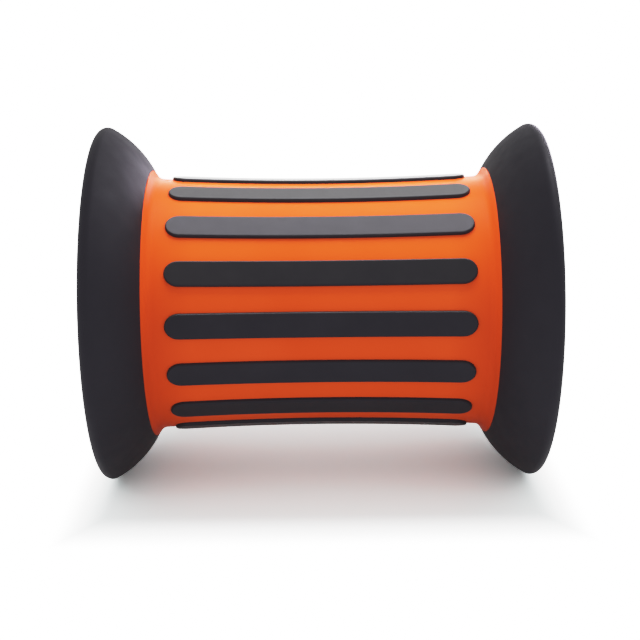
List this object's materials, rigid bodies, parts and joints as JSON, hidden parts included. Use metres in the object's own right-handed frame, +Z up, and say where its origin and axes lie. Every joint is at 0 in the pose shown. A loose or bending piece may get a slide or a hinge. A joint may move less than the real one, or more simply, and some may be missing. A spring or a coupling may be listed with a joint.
{
  "type": "balance roller",
  "caption": "Waisted hard drum with raised grip strips and two soft flared rims, for standing and walking on; two removable weights inside slow its roll.",
  "frame": {"origin": "middle of the drum on the roller's axis", "axes": "+X along the roller's axis, +Z up, with the roller lying on its rims"},
  "size_m": [0.4904, 0.3998, 0.3998],
  "materials": {
    "drum_orange": "satin",
    "strip_rubber": "satin",
    "rim_rubber": "matte",
    "hub_black": "matte",
    "screw_steel": "satin",
    "insert_brass": "satin",
    "tube_grey": "satin",
    "cap_black": "satin",
    "seal_rubber": "matte",
    "sand": "matte"
  },
  "bodies": {
    "roller": {"drum_shell": "drum_orange", "grip_strip_01": "strip_rubber", "grip_strip_02": "strip_rubber", "grip_strip_03": "strip_rubber", "grip_strip_04": "strip_rubber", "grip_strip_05": "strip_rubber", "grip_strip_06": "strip_rubber", "grip_strip_07": "strip_rubber", "grip_strip_08": "strip_rubber", "grip_strip_09": "strip_rubber", "grip_strip_10": "strip_rubber", "grip_strip_11": "strip_rubber", "grip_strip_12": "strip_rubber", "grip_strip_13": "strip_rubber", "grip_strip_14": "strip_rubber", "grip_strip_15": "strip_rubber", "grip_strip_16": "strip_rubber", "core_tube": "tube_grey", "left_hub": "hub_black", "left_rim": "rim_rubber", "left_end_plate": "drum_orange", "left_end_screws": "screw_steel", "left_end_inserts": "insert_brass", "right_hub": "hub_black", "right_rim": "rim_rubber", "right_end_plate": "drum_orange", "right_end_screws": "screw_steel", "right_end_inserts": "insert_brass"},
    "left_weight": {"left_weight_tube": "tube_grey", "left_weight_cap": "cap_black", "left_weight_grip": "cap_black", "left_weight_plug": "cap_black", "left_sand_fill": "sand", "left_outer_seal": "seal_rubber", "left_inner_seal": "seal_rubber"},
    "right_weight": {"right_weight_tube": "tube_grey", "right_weight_cap": "cap_black", "right_weight_grip": "cap_black", "right_weight_plug": "cap_black", "right_sand_fill": "sand", "right_outer_seal": "seal_rubber", "right_inner_seal": "seal_rubber"}
  },
  "joints": [
    {"name": "left_weight_slide", "type": "slide", "parent": "roller", "child": "left_weight", "axis": [-1, 0, 0], "range_m": [0, 0.22]},
    {"name": "right_weight_slide", "type": "slide", "parent": "roller", "child": "right_weight", "axis": [1, 0, 0], "range_m": [0, 0.22]}
  ]
}
